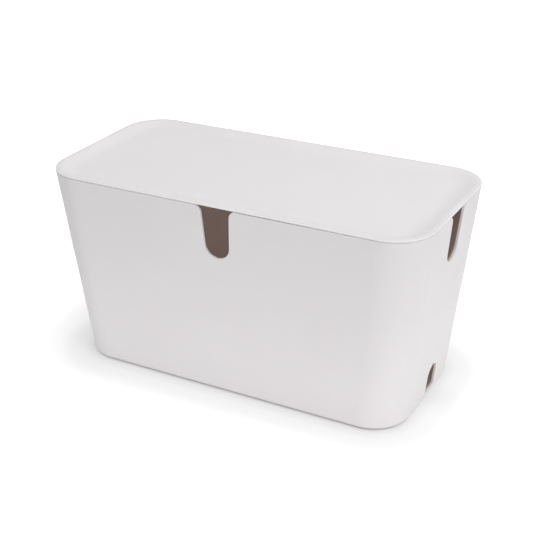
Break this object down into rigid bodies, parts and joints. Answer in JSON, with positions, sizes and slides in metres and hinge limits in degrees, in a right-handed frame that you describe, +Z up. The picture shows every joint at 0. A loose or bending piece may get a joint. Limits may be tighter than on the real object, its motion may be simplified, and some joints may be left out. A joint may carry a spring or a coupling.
{
  "type": "cable management box",
  "caption": "Lidded cable management box with drafted walls, flared cable slots in its rim, low end ports, a nested liner, a lift-off tray lid and rubber feet.",
  "frame": {"origin": "middle of the footprint, on the plane that the four feet stand on", "axes": "+X along the box's length, the long front faces -Y, the back with the nearer ports faces +Y, +Z up through the lid"},
  "size_m": [0.4658, 0.2258, 0.2401],
  "materials": {
    "shell": "white, fine satin moulded surface",
    "lid": "white, fine satin moulded surface",
    "liner": "matt taupe",
    "foot": "matt grey"
  },
  "bodies": {
    "box": {"outer_shell": "shell", "inner_liner": "liner", "foot_front_left": "foot", "foot_front_right": "foot", "foot_back_left": "foot", "foot_back_right": "foot"},
    "lid": {"lid": "lid"}
  },
  "joints": [
    {"name": "lid_lift", "type": "slide", "parent": "box", "child": "lid", "axis": [0, 0, 1], "range_m": [0, 0.12]}
  ]
}
